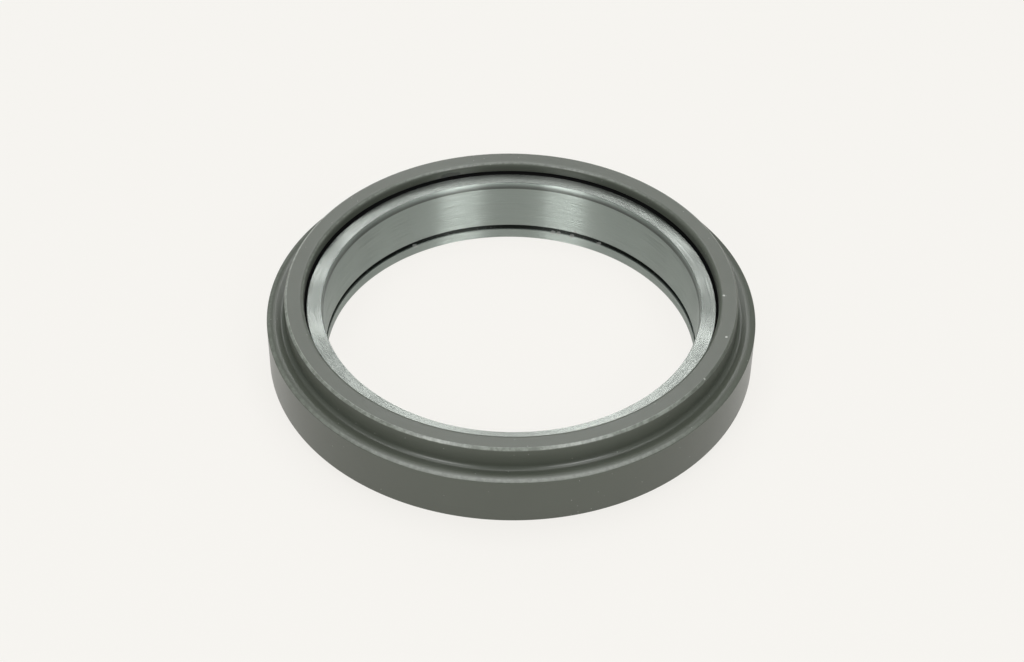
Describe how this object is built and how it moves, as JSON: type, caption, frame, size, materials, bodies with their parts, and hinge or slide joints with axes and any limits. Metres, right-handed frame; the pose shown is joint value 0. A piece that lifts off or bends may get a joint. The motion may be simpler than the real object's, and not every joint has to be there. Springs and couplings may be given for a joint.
{
  "type": "thrust bearing",
  "caption": "Single-direction angular contact thrust ball bearing: a stepped outer ring turns on balls over a flanged inner ring with a plain bore.",
  "frame": {"origin": "on the bearing axis, in the plane of the inner ring seat face that it stands on", "axes": "+Z along the bearing axis, from the inner ring seat face towards the outer ring thrust face; X and Y are any two directions across it"},
  "size_m": [0.091, 0.091, 0.0162],
  "materials": {
    "ground_steel": "fine ground and polished bearing steel",
    "dark_steel": "satin dark grey phosphated steel",
    "ball_steel": "polished bearing steel",
    "cage_polyamide": "moulded polyamide, natural",
    "seal_rubber": "matt black nitrile rubber"
  },
  "bodies": {
    "inner_race": {"inner_ring": "ground_steel"},
    "outer_race": {"outer_ring": "dark_steel", "upper_seal": "seal_rubber", "lower_seal": "seal_rubber"},
    "cage": {"cage": "cage_polyamide"},
    "ball_01": {"ball_01": "ball_steel"},
    "ball_02": {"ball_02": "ball_steel"},
    "ball_03": {"ball_03": "ball_steel"},
    "ball_04": {"ball_04": "ball_steel"},
    "ball_05": {"ball_05": "ball_steel"},
    "ball_06": {"ball_06": "ball_steel"},
    "ball_07": {"ball_07": "ball_steel"},
    "ball_08": {"ball_08": "ball_steel"},
    "ball_09": {"ball_09": "ball_steel"},
    "ball_10": {"ball_10": "ball_steel"},
    "ball_11": {"ball_11": "ball_steel"},
    "ball_12": {"ball_12": "ball_steel"},
    "ball_13": {"ball_13": "ball_steel"},
    "ball_14": {"ball_14": "ball_steel"},
    "ball_15": {"ball_15": "ball_steel"},
    "ball_16": {"ball_16": "ball_steel"},
    "ball_17": {"ball_17": "ball_steel"},
    "ball_18": {"ball_18": "ball_steel"},
    "ball_19": {"ball_19": "ball_steel"},
    "ball_20": {"ball_20": "ball_steel"},
    "ball_21": {"ball_21": "ball_steel"},
    "ball_22": {"ball_22": "ball_steel"},
    "ball_23": {"ball_23": "ball_steel"},
    "ball_24": {"ball_24": "ball_steel"},
    "ball_25": {"ball_25": "ball_steel"},
    "ball_26": {"ball_26": "ball_steel"},
    "ball_27": {"ball_27": "ball_steel"},
    "ball_28": {"ball_28": "ball_steel"},
    "ball_29": {"ball_29": "ball_steel"},
    "ball_30": {"ball_30": "ball_steel"}
  },
  "joints": [
    {"name": "outer_spin", "type": "hinge", "parent": "inner_race", "child": "outer_race", "pos_m": [0, 0, 0], "axis": [0, 0, 1], "continuous": true},
    {"name": "cage_spin", "type": "hinge", "parent": "inner_race", "child": "cage", "pos_m": [0, 0, 0], "axis": [0, 0, 1], "continuous": true},
    {"name": "ball_01_roll", "type": "hinge", "parent": "cage", "child": "ball_01", "pos_m": [0.03961, 0.00842, 0.0063], "axis": [-0.6917, -0.147, 0.7071], "continuous": true},
    {"name": "ball_02_roll", "type": "hinge", "parent": "cage", "child": "ball_02", "pos_m": [0.037, 0.01647, 0.0063], "axis": [-0.646, -0.2876, 0.7071], "continuous": true},
    {"name": "ball_03_roll", "type": "hinge", "parent": "cage", "child": "ball_03", "pos_m": [0.03277, 0.02381, 0.0063], "axis": [-0.5721, -0.4156, 0.7071], "continuous": true},
    {"name": "ball_04_roll", "type": "hinge", "parent": "cage", "child": "ball_04", "pos_m": [0.0271, 0.0301, 0.0063], "axis": [-0.4731, -0.5255, 0.7071], "continuous": true},
    {"name": "ball_05_roll", "type": "hinge", "parent": "cage", "child": "ball_05", "pos_m": [0.02025, 0.03507, 0.0063], "axis": [-0.3536, -0.6124, 0.7071], "continuous": true},
    {"name": "ball_06_roll", "type": "hinge", "parent": "cage", "child": "ball_06", "pos_m": [0.01252, 0.03852, 0.0063], "axis": [-0.2185, -0.6725, 0.7071], "continuous": true},
    {"name": "ball_07_roll", "type": "hinge", "parent": "cage", "child": "ball_07", "pos_m": [0.00423, 0.04028, 0.0063], "axis": [-0.0739, -0.7032, 0.7071], "continuous": true},
    {"name": "ball_08_roll", "type": "hinge", "parent": "cage", "child": "ball_08", "pos_m": [-0.00423, 0.04028, 0.0063], "axis": [0.0739, -0.7032, 0.7071], "continuous": true},
    {"name": "ball_09_roll", "type": "hinge", "parent": "cage", "child": "ball_09", "pos_m": [-0.01252, 0.03852, 0.0063], "axis": [0.2185, -0.6725, 0.7071], "continuous": true},
    {"name": "ball_10_roll", "type": "hinge", "parent": "cage", "child": "ball_10", "pos_m": [-0.02025, 0.03507, 0.0063], "axis": [0.3536, -0.6124, 0.7071], "continuous": true},
    {"name": "ball_11_roll", "type": "hinge", "parent": "cage", "child": "ball_11", "pos_m": [-0.0271, 0.0301, 0.0063], "axis": [0.4731, -0.5255, 0.7071], "continuous": true},
    {"name": "ball_12_roll", "type": "hinge", "parent": "cage", "child": "ball_12", "pos_m": [-0.03277, 0.02381, 0.0063], "axis": [0.5721, -0.4156, 0.7071], "continuous": true},
    {"name": "ball_13_roll", "type": "hinge", "parent": "cage", "child": "ball_13", "pos_m": [-0.037, 0.01647, 0.0063], "axis": [0.646, -0.2876, 0.7071], "continuous": true},
    {"name": "ball_14_roll", "type": "hinge", "parent": "cage", "child": "ball_14", "pos_m": [-0.03961, 0.00842, 0.0063], "axis": [0.6917, -0.147, 0.7071], "continuous": true},
    {"name": "ball_15_roll", "type": "hinge", "parent": "cage", "child": "ball_15", "pos_m": [-0.0405, 0, 0.0063], "axis": [0.7071, 0, 0.7071], "continuous": true},
    {"name": "ball_16_roll", "type": "hinge", "parent": "cage", "child": "ball_16", "pos_m": [-0.03961, -0.00842, 0.0063], "axis": [0.6917, 0.147, 0.7071], "continuous": true},
    {"name": "ball_17_roll", "type": "hinge", "parent": "cage", "child": "ball_17", "pos_m": [-0.037, -0.01647, 0.0063], "axis": [0.646, 0.2876, 0.7071], "continuous": true},
    {"name": "ball_18_roll", "type": "hinge", "parent": "cage", "child": "ball_18", "pos_m": [-0.03277, -0.02381, 0.0063], "axis": [0.5721, 0.4156, 0.7071], "continuous": true},
    {"name": "ball_19_roll", "type": "hinge", "parent": "cage", "child": "ball_19", "pos_m": [-0.0271, -0.0301, 0.0063], "axis": [0.4731, 0.5255, 0.7071], "continuous": true},
    {"name": "ball_20_roll", "type": "hinge", "parent": "cage", "child": "ball_20", "pos_m": [-0.02025, -0.03507, 0.0063], "axis": [0.3536, 0.6124, 0.7071], "continuous": true},
    {"name": "ball_21_roll", "type": "hinge", "parent": "cage", "child": "ball_21", "pos_m": [-0.01252, -0.03852, 0.0063], "axis": [0.2185, 0.6725, 0.7071], "continuous": true},
    {"name": "ball_22_roll", "type": "hinge", "parent": "cage", "child": "ball_22", "pos_m": [-0.00423, -0.04028, 0.0063], "axis": [0.0739, 0.7032, 0.7071], "continuous": true},
    {"name": "ball_23_roll", "type": "hinge", "parent": "cage", "child": "ball_23", "pos_m": [0.00423, -0.04028, 0.0063], "axis": [-0.0739, 0.7032, 0.7071], "continuous": true},
    {"name": "ball_24_roll", "type": "hinge", "parent": "cage", "child": "ball_24", "pos_m": [0.01252, -0.03852, 0.0063], "axis": [-0.2185, 0.6725, 0.7071], "continuous": true},
    {"name": "ball_25_roll", "type": "hinge", "parent": "cage", "child": "ball_25", "pos_m": [0.02025, -0.03507, 0.0063], "axis": [-0.3536, 0.6124, 0.7071], "continuous": true},
    {"name": "ball_26_roll", "type": "hinge", "parent": "cage", "child": "ball_26", "pos_m": [0.0271, -0.0301, 0.0063], "axis": [-0.4731, 0.5255, 0.7071], "continuous": true},
    {"name": "ball_27_roll", "type": "hinge", "parent": "cage", "child": "ball_27", "pos_m": [0.03277, -0.02381, 0.0063], "axis": [-0.5721, 0.4156, 0.7071], "continuous": true},
    {"name": "ball_28_roll", "type": "hinge", "parent": "cage", "child": "ball_28", "pos_m": [0.037, -0.01647, 0.0063], "axis": [-0.646, 0.2876, 0.7071], "continuous": true},
    {"name": "ball_29_roll", "type": "hinge", "parent": "cage", "child": "ball_29", "pos_m": [0.03961, -0.00842, 0.0063], "axis": [-0.6917, 0.147, 0.7071], "continuous": true},
    {"name": "ball_30_roll", "type": "hinge", "parent": "cage", "child": "ball_30", "pos_m": [0.0405, 0, 0.0063], "axis": [-0.7071, 0, 0.7071], "continuous": true}
  ],
  "couplings": [
    {"joint": "cage_spin", "follows": "outer_spin", "ratio": 0.52425},
    {"joint": "ball_01_roll", "follows": "outer_spin", "ratio": 7.2723},
    {"joint": "ball_02_roll", "follows": "outer_spin", "ratio": 7.2723},
    {"joint": "ball_03_roll", "follows": "outer_spin", "ratio": 7.2723},
    {"joint": "ball_04_roll", "follows": "outer_spin", "ratio": 7.2723},
    {"joint": "ball_05_roll", "follows": "outer_spin", "ratio": 7.2723},
    {"joint": "ball_06_roll", "follows": "outer_spin", "ratio": 7.2723},
    {"joint": "ball_07_roll", "follows": "outer_spin", "ratio": 7.2723},
    {"joint": "ball_08_roll", "follows": "outer_spin", "ratio": 7.2723},
    {"joint": "ball_09_roll", "follows": "outer_spin", "ratio": 7.2723},
    {"joint": "ball_10_roll", "follows": "outer_spin", "ratio": 7.2723},
    {"joint": "ball_11_roll", "follows": "outer_spin", "ratio": 7.2723},
    {"joint": "ball_12_roll", "follows": "outer_spin", "ratio": 7.2723},
    {"joint": "ball_13_roll", "follows": "outer_spin", "ratio": 7.2723},
    {"joint": "ball_14_roll", "follows": "outer_spin", "ratio": 7.2723},
    {"joint": "ball_15_roll", "follows": "outer_spin", "ratio": 7.2723},
    {"joint": "ball_16_roll", "follows": "outer_spin", "ratio": 7.2723},
    {"joint": "ball_17_roll", "follows": "outer_spin", "ratio": 7.2723},
    {"joint": "ball_18_roll", "follows": "outer_spin", "ratio": 7.2723},
    {"joint": "ball_19_roll", "follows": "outer_spin", "ratio": 7.2723},
    {"joint": "ball_20_roll", "follows": "outer_spin", "ratio": 7.2723},
    {"joint": "ball_21_roll", "follows": "outer_spin", "ratio": 7.2723},
    {"joint": "ball_22_roll", "follows": "outer_spin", "ratio": 7.2723},
    {"joint": "ball_23_roll", "follows": "outer_spin", "ratio": 7.2723},
    {"joint": "ball_24_roll", "follows": "outer_spin", "ratio": 7.2723},
    {"joint": "ball_25_roll", "follows": "outer_spin", "ratio": 7.2723},
    {"joint": "ball_26_roll", "follows": "outer_spin", "ratio": 7.2723},
    {"joint": "ball_27_roll", "follows": "outer_spin", "ratio": 7.2723},
    {"joint": "ball_28_roll", "follows": "outer_spin", "ratio": 7.2723},
    {"joint": "ball_29_roll", "follows": "outer_spin", "ratio": 7.2723},
    {"joint": "ball_30_roll", "follows": "outer_spin", "ratio": 7.2723}
  ]
}
